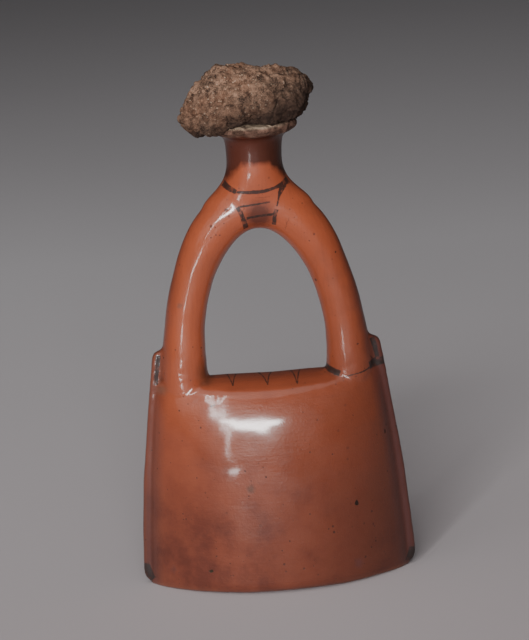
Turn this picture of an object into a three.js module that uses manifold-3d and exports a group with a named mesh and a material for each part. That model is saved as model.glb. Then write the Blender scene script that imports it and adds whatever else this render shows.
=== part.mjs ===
// A bag-shaped pottery flask with a mud stopper. The body is a flat-footed bag with two broad
// faces and two narrow ends, and a raised seam runs up each end. A hollow arch, which is also
// the handle, springs from the roof of the bag and carries the neck on its crown.
// Units are millimetres and +Z is up. X runs along the bag, and the origin is at the middle of
// its foot, on the surface that it stands on.
import * as THREE from "three";
import { mergeVertices } from "three/addons/utils/BufferGeometryUtils.js";
import Module from "manifold-3d";

// Bag
const FOOT_LENGTH = 98; // between the narrow ends, without their seams
const ROOF_LENGTH = 83; // the same, at the top of the bag
const BAG_DEPTH = 49; // front to back, at the belly
const ROOF_DEPTH = 25; // front to back, between the creases that edge the roof
const BAG_HEIGHT = 77.8; // to the middle of the roof
const ROOF_DOME = 2; // how much higher the middle of the roof is than its front and back edges
const ROOF_RISE = 2.4; // how much the roof rises towards its ends
const FOOT_ROUND = 4.2; // radius of the edge round the foot
const SHOULDER_ROUND = 3;
const WALL = 3.2;
const FLOOR = 4.4;

// Seams on the narrow ends
const SEAM_THICKNESS = 4;
const SEAM_PROUD = 2.5; // beyond the narrow end
const SEAM_EDGE = 0.9; // rounding of its crest
const SEAM_FOOT_ROUND = 5;
const SEAM_BURY = 5; // how far it reaches into the pot
const TAB_HEIGHT = 11.7; // how far it stands above the roof, beside the arch

// Arch
const ARCH_SPREAD = 61.4; // between the centres of its two feet
const ARCH_TOP = 142.6; // height of its centre line at the crown
const ARCH_ROOT = 5; // how deep its feet go below the roof
const ARM_RADIUS = 7.4; // at its slimmest
const ARM_FOOT_RADIUS = 8.7;
const ARM_CROWN_RADIUS = 8.8;

// Neck
const NECK_RADIUS = 10.3;
const NECK_TOP = 168.5; // height where the neck ends and the lip begins
const NECK_OFFSET = 0.2; // the neck stands a little to one side of the bag's middle
const SADDLE_REACH = 9.6; // how much wider than the neck its root is, along the arch
const SADDLE_HEIGHT = 15; // how far the root climbs above the arch's centre line
const MOUTH_RADIUS = 7.2;
const LIP_RADIUS = 16.4;
const LIP_THICKNESS = 5.8;
const LIP_ROUND = 1.2;

// Mud stopper
const STOPPER_LENGTH = 49; // along X
const STOPPER_DEPTH = 39; // along Y
const STOPPER_HEIGHT = 24.6; // of the lump, without its plug
const STOPPER_OVERHANG = 4.9; // how far the lump hangs down outside the lip, on the left
const PLUG_DEPTH = 13; // below the rim
const FIT_GAP = 0.35; // between the mud and the pot

// Fineness
const SIDES_BAG = 48;
const SIDES_CAVITY = 36;
const SIDES_ARM = 20;
const SIDES_BORE = 14;
const SIDES_NECK = 32;
const SIDES_STOPPER = 36;

const LIP_TOP = NECK_TOP + LIP_THICKNESS;

const wasm = await Module();
wasm.setup();

// Turns a closed three.js geometry into a solid that can be joined and cut.
function solid(geometry) {
  const bare = geometry.clone();
  bare.deleteAttribute("normal");
  bare.deleteAttribute("uv");
  const merged = mergeVertices(bare, 1e-4);
  return new wasm.Manifold(
    new wasm.Mesh({
      numProp: 3,
      vertProperties: merged.attributes.position.array,
      triVerts: new Uint32Array(merged.index.array),
    }),
  );
}

// Turns a solid back into a three.js geometry.
function geometryOf(made) {
  const mesh = made.getMesh();
  const geometry = new THREE.BufferGeometry();
  geometry.setAttribute("position", new THREE.BufferAttribute(mesh.vertProperties, 3));
  geometry.setIndex(new THREE.BufferAttribute(mesh.triVerts, 1));
  geometry.computeVertexNormals();
  return geometry;
}

// Skins a row of closed rings of THREE.Vector3, each with as many points, and closes both ends.
// The rings run anticlockwise as seen from the side that the row advances to.
function loft(rings) {
  const count = rings[0].length;
  const points = rings.flat();
  const faces = [];
  for (let level = 0; level + 1 < rings.length; level++)
    for (let i = 0; i < count; i++) {
      const a = level * count + i;
      const b = level * count + ((i + 1) % count);
      faces.push(a, b, b + count, a, b + count, a + count);
    }
  const middle = (ring) =>
    ring.reduce((sum, p) => sum.add(p), new THREE.Vector3()).divideScalar(count);
  const last = (rings.length - 1) * count;
  points.push(middle(rings[0]), middle(rings[rings.length - 1]));
  for (let i = 0; i < count; i++) {
    const next = (i + 1) % count;
    faces.push(points.length - 2, next, i);
    faces.push(points.length - 1, last + i, last + next);
  }
  const geometry = new THREE.BufferGeometry().setFromPoints(points);
  geometry.setIndex(faces);
  return solid(geometry);
}

// A level ring round (x, 0, z) with its half sizes along X and Y. A power of 2 gives an ellipse,
// a smaller one a lens with pointed ends, and a larger one a rounded block.
function ringAt(x, z, halfX, halfY, sides, power = 2) {
  const ring = [];
  for (let i = 0; i < sides; i++) {
    const turn = (2 * Math.PI * i) / sides;
    const bulge = Math.sign(Math.sin(turn)) * Math.abs(Math.sin(turn)) ** (2 / power);
    ring.push(new THREE.Vector3(x + halfX * Math.cos(turn), halfY * bulge, z));
  }
  return ring;
}

const { lerp, smoothstep } = THREE.MathUtils;

// Half the bag's length at a height, without the seams: the ends draw in faster towards the top.
function halfLength(z) {
  const share = Math.max(0, z / BAG_HEIGHT) ** 1.6;
  return lerp(FOOT_LENGTH, ROOF_LENGTH, share) / 2;
}

// Points of the bag's half section, as depth and height, drawn in along their normals by wall.
function bagSection(wall, fineness) {
  const belly = BAG_DEPTH / 2;
  const crease = new THREE.Vector2(ROOF_DEPTH / 2, BAG_HEIGHT - ROOF_DOME);
  const faceEnd = crease.clone().add(new THREE.Vector2(0.53, -0.85).multiplyScalar(SHOULDER_ROUND));
  const roofStart = crease.clone().add(new THREE.Vector2(-1, 0.15).multiplyScalar(SHOULDER_ROUND));
  const upright = new THREE.Vector2(belly, BAG_HEIGHT / 2);
  const swell = new THREE.Vector2(lerp(crease.x, belly, 0.65), lerp(0, crease.y, 0.83));
  const roofSwell = new THREE.Vector2(crease.x / 2, BAG_HEIGHT);
  const foot = new THREE.EllipseCurve(
    belly - FOOT_ROUND, FOOT_ROUND, FOOT_ROUND, FOOT_ROUND, -Math.PI / 2, 0,
  );
  const face = new THREE.CubicBezierCurve(
    new THREE.Vector2(belly, FOOT_ROUND), upright, swell, faceEnd,
  );
  const shoulder = new THREE.QuadraticBezierCurve(faceEnd, crease, roofStart);
  const roof = new THREE.QuadraticBezierCurve(roofStart, roofSwell, new THREE.Vector2(0, BAG_HEIGHT));
  const points = [];
  for (const [count, curve] of [[3, foot], [9, face], [3, shoulder], [4, roof]]) {
    const steps = Math.round(count * fineness);
    for (let i = points.length ? 1 : 0; i <= steps; i++) {
      const p = curve.getPoint(i / steps);
      const along = curve.getTangent(i / steps);
      points.push(new THREE.Vector2(p.x - wall * along.y, p.y + wall * along.x));
    }
  }
  return points;
}

// The bag, or its hollow when drawn in by the wall: a rounded foot, bulging faces, a shoulder and
// a roof that is nearly flat.
function bag(wall, floor, sides, fineness) {
  const crease = ROOF_DEPTH / 2 - wall;
  const rings = [];
  for (const point of bagSection(wall, fineness)) {
    if (point.y < floor - 1e-6) continue;
    const depth = Math.max(point.x, 0.02 * crease);
    const share = Math.min(1, depth / crease);
    const length = (halfLength(point.y) - wall) * (1 - (1 - share) ** 4);
    const upper = smoothstep(point.y, 0.3 * BAG_HEIGHT, BAG_HEIGHT);
    const rise = ROOF_RISE * smoothstep(point.y, 0.6 * BAG_HEIGHT, BAG_HEIGHT);
    const ring = ringAt(0, point.y, length, depth, sides, lerp(1.35, 1.8, upper));
    for (const p of ring) p.z += rise * (p.x / halfLength(BAG_HEIGHT)) ** 2;
    rings.push(ring);
  }
  if (floor > 0) rings.unshift(rings[0].map((p) => new THREE.Vector3(0.95 * p.x, 0.92 * p.y, floor)));
  return loft(rings);
}

// The arch's centre line on the right: straight up out of the roof, then round to the crown.
function archLine(root) {
  const reach = ARCH_SPREAD / 2;
  const spring = BAG_HEIGHT + 3;
  const line = new THREE.CurvePath();
  line.add(
    new THREE.LineCurve3(
      new THREE.Vector3(reach, 0, BAG_HEIGHT - root),
      new THREE.Vector3(reach, 0, spring),
    ),
  );
  line.add(
    new THREE.CubicBezierCurve3(
      new THREE.Vector3(reach, 0, spring),
      new THREE.Vector3(reach, 0, lerp(spring, ARCH_TOP, 0.45)),
      new THREE.Vector3(0.68 * reach, 0, ARCH_TOP),
      new THREE.Vector3(0, 0, ARCH_TOP),
    ),
  );
  return line;
}

// The arch's radius where its centre line has a height: wide at the feet and again at the crown.
function armRadius(z) {
  const foot = (ARM_FOOT_RADIUS - ARM_RADIUS) * (1 - smoothstep(z, BAG_HEIGHT, BAG_HEIGHT + 24));
  const crown = (ARM_CROWN_RADIUS - ARM_RADIUS) * smoothstep(z, ARCH_TOP - 30, ARCH_TOP);
  return ARM_RADIUS + foot + crown;
}

// The whole arch, or its bore when drawn in by the wall, from the left foot to the right one.
function arch(wall, root, sides, steps) {
  const line = archLine(root);
  const rings = [];
  for (let step = -steps; step <= steps; step++) {
    const share = 1 - Math.abs(step) / steps;
    const side = step < 0 ? -1 : 1;
    const centre = line.getPointAt(share);
    const along = line.getTangentAt(share);
    const radius = armRadius(centre.z) - wall;
    const ring = [];
    for (let i = 0; i < sides; i++) {
      const turn = (2 * Math.PI * i) / sides;
      const out = radius * Math.cos(turn);
      const x = side * (centre.x + out * along.z);
      ring.push(new THREE.Vector3(x, -radius * Math.sin(turn), centre.z - out * along.x));
    }
    rings.push(ring);
  }
  return loft(rings);
}

// Neck and lip: a root that spreads along the arch, a waist and a thick lip that flares out.
// gap makes it larger all round, for the mud that was pressed on it.
function neck(gap) {
  const rings = [];
  const root = [
    [-0.45, 0.2, 0.5],
    [-0.05, 1, 0.9],
    [0.15, 0.92, 0.98],
    [0.4, 0.5, 1],
    [0.62, 0.2, 1],
    [0.82, 0.06, 1],
  ];
  for (const [climb, reach, fullness] of root) {
    const width = NECK_RADIUS + SADDLE_REACH * reach;
    const depth = lerp(ARM_CROWN_RADIUS, NECK_RADIUS, smoothstep(climb, 0, 0.9)) * fullness;
    rings.push([ARCH_TOP + SADDLE_HEIGHT * climb, width, depth]);
  }
  const middle = (ARCH_TOP + SADDLE_HEIGHT + NECK_TOP) / 2;
  const level = (z, radius) => rings.push([z, radius, radius]);
  level(ARCH_TOP + SADDLE_HEIGHT, NECK_RADIUS);
  level(middle, NECK_RADIUS);
  level(NECK_TOP - 2.5, NECK_RADIUS + 0.3);
  level(NECK_TOP, NECK_RADIUS + 1);
  level(NECK_TOP + 0.3 * LIP_THICKNESS, LIP_RADIUS - 1.6);
  level(NECK_TOP + 0.5 * LIP_THICKNESS, LIP_RADIUS - 0.2);
  level(LIP_TOP - LIP_ROUND, LIP_RADIUS);
  level(LIP_TOP, LIP_RADIUS - LIP_ROUND);
  return loft(
    rings.map(([z, halfX, halfY], i) => {
      const height = z < NECK_TOP ? z : z + (i === rings.length - 1 ? gap : -gap);
      return ringAt(NECK_OFFSET, height, halfX + gap, halfY + gap, SIDES_NECK);
    }),
  );
}

// A solid of revolution from (radius, height) pairs that start and end on the axis, bottom to top,
// standing on the neck's axis.
function turned(pairs) {
  const points = pairs.map(([radius, z]) => new THREE.Vector2(radius, z));
  const lathe = new THREE.LatheGeometry(points, SIDES_NECK - 8);
  lathe.rotateX(Math.PI / 2);
  lathe.translate(NECK_OFFSET, 0, 0);
  return solid(lathe);
}

// The way through the neck and lip, down to the arch's own bore.
function mouth() {
  const chamfer = 1;
  return turned([
    [0, ARCH_TOP - 3],
    [ARM_CROWN_RADIUS - WALL - 1, ARCH_TOP],
    [MOUTH_RADIUS, ARCH_TOP + 6],
    [MOUTH_RADIUS, LIP_TOP - chamfer],
    [MOUTH_RADIUS + 2 * chamfer, LIP_TOP + chamfer],
    [0, LIP_TOP + chamfer],
  ]);
}

// The raised seam up the right end, from the foot to the rounded tab beside the arch's foot, as a
// plate in the bag's middle plane. side is 1 on the right and -1 on the left.
function seam(side) {
  const low = SEAM_EDGE + 0.3;
  const top = BAG_HEIGHT + TAB_HEIGHT - SEAM_EDGE;
  const round = low + SEAM_FOOT_ROUND;
  const crest = (z) => halfLength(z) + SEAM_PROUD - SEAM_EDGE;
  const tab = crest(top);
  const shape = new THREE.Shape();
  shape.moveTo(crest(low) - SEAM_FOOT_ROUND - SEAM_BURY, low);
  shape.lineTo(crest(low) - SEAM_FOOT_ROUND, low);
  shape.quadraticCurveTo(crest(low), low, crest(round), round);
  const stretches = 7;
  for (let i = 1; i <= stretches; i++) {
    const z = lerp(round, top - 2, i / stretches);
    shape.lineTo(crest(z), z);
  }
  shape.quadraticCurveTo(tab, top, tab - 2, top + 0.4);
  shape.quadraticCurveTo(tab - 4, top + 0.8, tab - 5.5, top + 5);
  shape.lineTo(ARCH_SPREAD / 2 + 3, top + 4);
  shape.lineTo(crest(BAG_HEIGHT) - SEAM_BURY - 2, BAG_HEIGHT - 4);
  const plate = new THREE.ExtrudeGeometry(shape, {
    depth: SEAM_THICKNESS - 2 * SEAM_EDGE,
    steps: 1,
    curveSegments: 4,
    bevelEnabled: true,
    bevelThickness: SEAM_EDGE,
    bevelSize: SEAM_EDGE,
    bevelSegments: 2,
  });
  plate.translate(0, 0, SEAM_EDGE - SEAM_THICKNESS / 2);
  plate.rotateX(Math.PI / 2);
  if (side < 0) plate.rotateZ(Math.PI);
  return solid(plate);
}

// The fired pot: everything outside joined, and then everything hollow cut out of it.
function flask() {
  const outside = bag(0, 0, SIDES_BAG, 1)
    .add(arch(0, ARCH_ROOT, SIDES_ARM, 17))
    .add(neck(0))
    .add(seam(1))
    .add(seam(-1));
  const hollow = bag(WALL, FLOOR, SIDES_CAVITY, 0.7)
    .add(arch(WALL, ARCH_ROOT + WALL, SIDES_BORE, 14))
    .add(mouth());
  return outside.subtract(hollow);
}

// The lump of mud, as level rings from its underside to its top. Each row gives the height, the
// left end, the right end and the depth, as shares of the lump's own sizes. It hangs down on the
// left, leans to the right and carries a knob at the top left.
function mudLump() {
  const rows = [
    [0, -0.42, -0.2, 0.35],
    [0.08, -0.47, 0.06, 0.6],
    [0.17, -0.5, 0.28, 0.8],
    [0.27, -0.52, 0.36, 0.93],
    [0.4, -0.52, 0.43, 1],
    [0.55, -0.49, 0.48, 0.99],
    [0.68, -0.45, 0.47, 0.93],
    [0.8, -0.39, 0.44, 0.84],
    [0.89, -0.34, 0.39, 0.7],
    [0.95, -0.3, 0.3, 0.52],
    [1, -0.26, -0.02, 0.25],
  ];
  const base = LIP_TOP - STOPPER_OVERHANG;
  const rings = rows.map(([height, left, right, depth]) => {
    const middle = (STOPPER_LENGTH * (left + right)) / 2;
    const z = base + STOPPER_HEIGHT * height;
    const halfX = (STOPPER_LENGTH * (right - left)) / 2;
    const ring = ringAt(middle, z, halfX, (STOPPER_DEPTH * depth) / 2, SIDES_STOPPER, 2.4);
    for (const p of ring) {
      const knobs =
        Math.sin(0.31 * p.x + 0.23 * p.z) * Math.cos(0.27 * p.y - 0.35 * p.z) +
        0.7 * Math.sin(0.62 * p.y + 0.41 * p.x + 1.2);
      p.x += 0.035 * knobs * (p.x - middle);
      p.y += 0.05 * knobs * p.y;
    }
    return ring;
  });
  return loft(rings);
}

// The stopper: the lump and the plug in the mouth, less the room that the lip takes.
function stopper() {
  const radius = MOUTH_RADIUS - FIT_GAP;
  const low = LIP_TOP - PLUG_DEPTH;
  const plug = turned([
    [0, low],
    [radius - 1.2, low],
    [radius, low + 2],
    [radius, LIP_TOP + 4],
    [0, LIP_TOP + 4],
  ]);
  return mudLump().subtract(neck(FIT_GAP)).add(plug);
}

function piece(name, made, material) {
  const mesh = new THREE.Mesh(geometryOf(made), material);
  mesh.name = name;
  return mesh;
}

const pottery = new THREE.MeshStandardMaterial({ color: 0x9c5038, roughness: 0.3, metalness: 0 });
const mud = new THREE.MeshStandardMaterial({ color: 0x7a6352, roughness: 0.95, metalness: 0 });

const model = new THREE.Group();
model.add(piece("flask", flask(), pottery));
model.add(piece("mud_stopper", stopper(), mud));

export default model;
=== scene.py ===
# %% [markdown]
# # A bag-shaped flask of burnished pottery
#
# The real object is a small hollow flask in red slip, rubbed with a pebble until it shone, with a
# few lines of black paint and a lump of dried mud in its mouth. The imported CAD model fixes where
# both pieces are. Here they are modelled again, smooth for the clay and rough for the mud, and
# given their finishes, a camera and studio light.

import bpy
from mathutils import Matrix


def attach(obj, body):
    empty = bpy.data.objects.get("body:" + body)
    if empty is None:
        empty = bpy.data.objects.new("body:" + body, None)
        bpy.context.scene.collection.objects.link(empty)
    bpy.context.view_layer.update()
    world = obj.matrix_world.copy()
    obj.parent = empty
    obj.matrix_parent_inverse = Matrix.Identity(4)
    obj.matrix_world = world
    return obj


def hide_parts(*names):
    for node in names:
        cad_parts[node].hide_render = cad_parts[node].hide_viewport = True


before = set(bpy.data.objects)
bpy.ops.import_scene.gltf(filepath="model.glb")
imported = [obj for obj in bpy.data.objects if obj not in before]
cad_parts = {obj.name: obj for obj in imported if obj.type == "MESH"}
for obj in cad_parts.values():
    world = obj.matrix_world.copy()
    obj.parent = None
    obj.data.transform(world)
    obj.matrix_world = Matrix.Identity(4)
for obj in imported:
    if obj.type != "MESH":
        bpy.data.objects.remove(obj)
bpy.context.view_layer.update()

# %% [markdown]
# ## The camera
#
# The picture is taken from about a metre away and a little above. The camera is rolled by a few
# degrees, because the real flask leans while this one stands upright. A long lens keeps the
# perspective gentle, and depth of field stays off.

# %% Camera
from math import acos, atan2, copysign, cos, pi, radians, sin

import bmesh
import bpy
import numpy as np
from mathutils import Matrix, Vector, noise
from mathutils.bvhtree import BVHTree

CAMERA_PLACE = Vector((-0.0354, -0.969, 0.3434))
CAMERA_TARGET = Vector((0.0001, 0, 0.0988))
CAMERA_UP = Vector((0.0628, 0, 0.998))


def stand(thing, place, target, up=Vector((0, 0, 1))):
    """Puts a camera or a light at a place and points it at a target."""
    back = (place - target).normalized()
    right = up.cross(back).normalized()
    axes = Matrix((right, back.cross(right), back)).transposed()
    thing.matrix_world = Matrix.Translation(place) @ axes.to_4x4()
    bpy.context.scene.collection.objects.link(thing)


lens = bpy.data.cameras.new("camera")
lens.lens = 152
lens.sensor_width = 36
camera = bpy.data.objects.new("camera", lens)
stand(camera, CAMERA_PLACE, CAMERA_TARGET, CAMERA_UP)
bpy.context.scene.camera = camera
print("camera at", tuple(round(v, 3) for v in camera.location), "m, lens", lens.lens, "mm")

# %% [markdown]
# ## Sizes and small sums
#
# The clay is shaped in millimetres, which suits a pot of this size, and shrunk to metres at the
# end. The sizes are the CAD model's own, so that each smooth piece lies on its solid. Four short
# helpers do most of the sums: a straight mix, an eased step, a band between two such steps, and a
# Bezier point with its direction.

# %% Sizes, in millimetres
FOOT_LENGTH, ROOF_LENGTH = 98, 83
BAG_DEPTH, ROOF_DEPTH, BAG_HEIGHT = 49, 25, 77.8
ROOF_DOME, ROOF_RISE = 2, 2.4
FOOT_ROUND, SHOULDER_ROUND = 4.2, 3
WALL, FLOOR = 3.2, 4.4
SEAM_THICKNESS, SEAM_PROUD, SEAM_EDGE, SEAM_BURY = 4, 2.5, 0.9, 5
TAB_HEIGHT = 11.7
ARCH_SPREAD, ARCH_TOP, ARCH_ROOT = 61.4, 142.6, 5
ARM_RADIUS, ARM_FOOT_RADIUS, ARM_CROWN_RADIUS = 7.4, 8.7, 8.8
NECK_RADIUS, NECK_TOP, NECK_OFFSET = 10.3, 168.5, 0.2
SADDLE_REACH, SADDLE_HEIGHT = 9.6, 15
MOUTH_RADIUS, LIP_RADIUS, LIP_THICKNESS, LIP_ROUND = 7.2, 16.4, 5.8, 1.2
LIP_TOP = NECK_TOP + LIP_THICKNESS


def mix(a, b, share):
    return a + (b - a) * share


def ease(x, low, high):
    share = min(1, max(0, (x - low) / (high - low)))
    return share * share * (3 - 2 * share)


def band(x, start, full, fade, end):
    """Rises from 0 to 1 between start and full, and falls again between fade and end."""
    return ease(x, start, full) * (1 - ease(x, fade, end))


def bezier(points, share):
    """The point of a Bezier curve at a share of its length, and its direction there."""
    row = [Vector(p) for p in points]
    while len(row) > 2:
        row = [a.lerp(b, share) for a, b in zip(row, row[1:])]
    return row[0].lerp(row[1], share), (row[1] - row[0]).normalized()


print("pot", LIP_TOP, "mm to its rim")

# %% [markdown]
# ## The bag
#
# The potter closed a soft cylinder of clay along its top, as one pinches a bag shut, so the foot
# is a pointed lens and the roof a narrow strip. A sphere already has the right topology for such a
# closed body, with two poles and level circles between them. So a UV sphere is made, and each of
# its circles is moved to its own ring of the bag: a section gives depth and height, and a
# lens-shaped formula gives the way round.

# %% Helper: a sphere whose circles are moved to rings
def round_body(bm, around, rings):
    """Adds a closed body. Each ring is a function from a turn to a point, from the first pole on."""
    steps = len(rings) - 1
    made = bmesh.ops.create_uvsphere(bm, u_segments=around, v_segments=steps, radius=1)
    for v in made["verts"]:
        row = round(acos(max(-1, min(1, -v.co.z))) / pi * steps)
        v.co = rings[row](atan2(v.co.y, v.co.x))


def half_length(z):
    """Half the bag's length at a height, without its seams."""
    return mix(FOOT_LENGTH, ROOF_LENGTH, max(0, z / BAG_HEIGHT) ** 1.6) / 2


def bag_section(wall):
    """Depth and height down the middle of one broad face, from the foot to the roof."""
    belly = BAG_DEPTH / 2
    crease = Vector((ROOF_DEPTH / 2, BAG_HEIGHT - ROOF_DOME))
    face_end = crease + SHOULDER_ROUND * Vector((0.53, -0.85))
    roof_start = crease + SHOULDER_ROUND * Vector((-1, 0.15))
    inside, round_off = belly - FOOT_ROUND, 0.45 * FOOT_ROUND
    swell = (mix(crease.x, belly, 0.65), 0.83 * crease.y)
    stretches = [
        (8, [(inside, 0), (belly - round_off, 0), (belly, round_off), (belly, FOOT_ROUND)]),
        (40, [(belly, FOOT_ROUND), (belly, BAG_HEIGHT / 2), swell, face_end]),
        (8, [face_end, crease, roof_start]),
        (20, [roof_start, (crease.x / 2, BAG_HEIGHT), (0, BAG_HEIGHT)]),
    ]
    rows = []
    for steps, points in stretches:
        for step in range(1 if rows else 0, steps + 1):
            place, along = bezier(points, step / steps)
            rows.append(place + wall * Vector((-along.y, along.x)))
    return rows


def bag_rings(wall=0, floor=0):
    """The rings of the bag, or of its hollow when drawn in by the wall."""
    crease = ROOF_DEPTH / 2 - wall

    def ring(depth, z, share=1):
        depth = max(0, depth)
        reach = (half_length(z) - wall) * (1 - (1 - min(1, depth / crease)) ** 4) * share
        power = mix(1.35, 1.8, ease(z, 0.3 * BAG_HEIGHT, BAG_HEIGHT))
        rise = ROOF_RISE * ease(z, 0.6 * BAG_HEIGHT, BAG_HEIGHT)

        def place(turn):
            x = reach * cos(turn)
            y = depth * share * copysign(abs(sin(turn)) ** (2 / power), sin(turn))
            return Vector((x, y, z + rise * (x / half_length(BAG_HEIGHT)) ** 2))

        return place

    rows = [row for row in bag_section(wall) if row.y >= floor]
    under = [ring(rows[0].x, floor, share) for share in (0, 0.25, 0.5, 0.75, 0.95)]
    return under + [ring(*row) for row in rows]


clay = bmesh.new()
round_body(clay, 192, bag_rings())
print("bag:", len(clay.verts), "vertices")

# %% [markdown]
# ## The arch
#
# The handle is a hollow tube of clay bent into an arch, and its bore is the only way from the
# mouth to the bag. The same helper serves: the sphere's poles are the two feet, which end inside
# the bag, and its circles follow the arch's line with a radius that swells at the feet and crown.

# %% Arch
def arch_rings(wall=0, root=ARCH_ROOT, steps=60):
    """The rings of the arch, or of its bore when drawn in by the wall, from left to right."""
    reach, spring = ARCH_SPREAD / 2, BAG_HEIGHT + 3
    bend = [
        (reach, spring),
        (reach, mix(spring, ARCH_TOP, 0.45)),
        (0.68 * reach, ARCH_TOP),
        (0, ARCH_TOP),
    ]
    line = [(reach, BAG_HEIGHT - root), (reach, spring)]
    line += [tuple(bezier(bend, step / 80)[0]) for step in range(1, 81)]
    line = np.array(line)
    far = np.concatenate([[0], np.cumsum(np.linalg.norm(np.diff(line, axis=0), axis=1))])

    def at(length):
        return Vector([np.interp(length, far, line[:, axis]) for axis in (0, 1)])

    def ring(side, length, share=1):
        centre = at(length)
        along = (at(length + 0.5) - at(length - 0.5)).normalized()
        foot = 1 - ease(centre.y, BAG_HEIGHT, BAG_HEIGHT + 24)
        crown = ease(centre.y, ARCH_TOP - 30, ARCH_TOP)
        radius = ARM_RADIUS + (ARM_FOOT_RADIUS - ARM_RADIUS) * foot - wall
        radius = share * (radius + (ARM_CROWN_RADIUS - ARM_RADIUS) * crown)

        def place(turn):
            out = radius * cos(turn)
            x = side * (centre.x + out * along.y)
            return Vector((x, -radius * sin(turn), centre.y - out * along.x))

        return place

    lengths = [far[-1] * step / steps for step in range(steps + 1)]
    left = [ring(-1, length) for length in lengths]
    right = [ring(1, length) for length in lengths[-2::-1]]
    return [ring(-1, 0, 0)] + left + right + [ring(1, 0, 0)]


round_body(clay, 64, arch_rings())
print("bag and arch:", len(clay.verts), "vertices")

# %% [markdown]
# ## The neck and lip
#
# The neck was thrown on the wheel and luted to the crown, where it spreads along the arch like a
# saddle. Its rings are level ellipses. A few are given, and a smooth curve through them adds the
# ones between, so that the waist and the flare of the lip have no corners.

# %% Neck
def through(rows, between):
    """Adds rows on a smooth curve between the given ones."""
    rows = [Vector(row) for row in rows]
    ends = [rows[0]] + rows + [rows[-1]]
    filled = []
    for a, b, c, d in zip(ends, ends[1:], ends[2:], ends[3:]):
        for step in range(between + 1):
            t = step / (between + 1)
            bend = (2 * a - 5 * b + 4 * c - d) * t * t + (3 * b - a - 3 * c + d) * t * t * t
            filled.append(b + 0.5 * ((c - a) * t + bend))
    return filled + [rows[-1]]


def level_ring(x, z, half_x, half_y, power=2):
    def place(turn):
        bulge = copysign(abs(sin(turn)) ** (2 / power), sin(turn))
        return Vector((x + half_x * cos(turn), half_y * bulge, z))

    return place


def neck_rings(gap=0):
    """The rings of the neck and lip, grown by a gap."""
    rows = []
    for climb, reach, fullness in [
        (-0.45, 0.2, 0.5),
        (-0.05, 1, 0.9),
        (0.15, 0.92, 0.98),
        (0.4, 0.5, 1),
        (0.62, 0.2, 1),
        (0.82, 0.06, 1),
    ]:
        depth = mix(ARM_CROWN_RADIUS, NECK_RADIUS, ease(climb, 0, 0.9)) * fullness
        rows.append((ARCH_TOP + SADDLE_HEIGHT * climb, NECK_RADIUS + SADDLE_REACH * reach, depth))
    for z, radius in [
        (ARCH_TOP + SADDLE_HEIGHT, NECK_RADIUS),
        ((ARCH_TOP + SADDLE_HEIGHT + NECK_TOP) / 2, NECK_RADIUS),
        (NECK_TOP - 2.5, NECK_RADIUS + 0.3),
        (NECK_TOP, NECK_RADIUS + 1),
        (NECK_TOP + 0.3 * LIP_THICKNESS, LIP_RADIUS - 1.6),
        (NECK_TOP + 0.5 * LIP_THICKNESS, LIP_RADIUS - 0.2),
        (LIP_TOP - LIP_ROUND, LIP_RADIUS),
        (LIP_TOP, LIP_RADIUS - LIP_ROUND),
    ]:
        shift = 0 if z < NECK_TOP else gap if z == LIP_TOP else -gap
        rows.append((z + shift, radius, radius))
    rows = through(rows, 3)
    rings = [level_ring(NECK_OFFSET, z, x + gap, y + gap) for z, x, y in rows]
    first, last = rows[0].x, rows[-1].x
    poles = [level_ring(NECK_OFFSET, z, 0, 0) for z in (first, last)]
    return poles[:1] + rings + poles[1:]


round_body(clay, 96, neck_rings())
print("with the neck:", len(clay.verts), "vertices")

# %% [markdown]
# ## The seams on the narrow ends
#
# A raised strip runs up each narrow end and stands clear beside the arch's foot as a rounded tab,
# like the stitched edge of a leather bag. Its outline is one flat face, drawn from a few points,
# extruded to its thickness and bevelled along both rims.

# %% Seams
def seam(bm, side):
    low, foot_round = 0.3, 5.9
    top = BAG_HEIGHT + TAB_HEIGHT

    def crest(z):
        return half_length(z) + SEAM_PROUD

    tab = crest(top)
    outline = [(crest(low) - foot_round - SEAM_BURY, low)]
    foot_top = (crest(low + foot_round), low + foot_round)
    foot = [(crest(low) - foot_round, low), (crest(low), low), foot_top]
    outline += [tuple(bezier(foot, step / 6)[0]) for step in range(7)]
    outline += [(crest(z), z) for z in np.linspace(low + foot_round, top - 2, 12)[1:]]
    for bend in [
        [outline[-1], (tab, top), (tab - 2, top + 0.4)],
        [(tab - 2, top + 0.4), (tab - 4, top + 0.8), (tab - 5.5, top + 5)],
    ]:
        outline += [tuple(bezier(bend, step / 5)[0]) for step in range(1, 6)]
    outline += [(ARCH_SPREAD / 2 + 3, top + 4), (crest(BAG_HEIGHT) - SEAM_BURY - 2, BAG_HEIGHT - 4)]
    front = [bm.verts.new((side * x, -SEAM_THICKNESS / 2, z)) for x, z in outline]
    face = bm.faces.new(front)
    rims = list(face.edges)
    grown = bmesh.ops.extrude_face_region(bm, geom=[face])["geom"]
    back = [part for part in grown if isinstance(part, bmesh.types.BMVert)]
    rims += [part for part in grown if isinstance(part, bmesh.types.BMEdge)]
    bmesh.ops.translate(bm, verts=back, vec=(0, SEAM_THICKNESS, 0))
    bmesh.ops.bevel(
        bm, geom=rims, offset=SEAM_EDGE, segments=3, profile=0.5, affect="EDGES", material=-1
    )


for side in (-1, 1):
    seam(clay, side)
bmesh.ops.recalc_face_normals(clay, faces=clay.faces)
print("with both seams:", len(clay.verts), "vertices")

# %% [markdown]
# ## One skin of clay
#
# On the real pot the joints were wiped over with wet clay, so no edge is left between its parts.
# A voxel remesh does the same: it lays one even skin over all the overlapping bodies. Then it is
# smoothed, a little everywhere and much more where the potter's finger made soft fillets: at the
# arch's feet, at the root of the neck, under the lip and along the fold of the roof. Last, slow
# noise along the normals gives the slight waviness of a surface that was shaped by hand. The lip
# is dented inwards only, so that the mud still fits over it.

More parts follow.
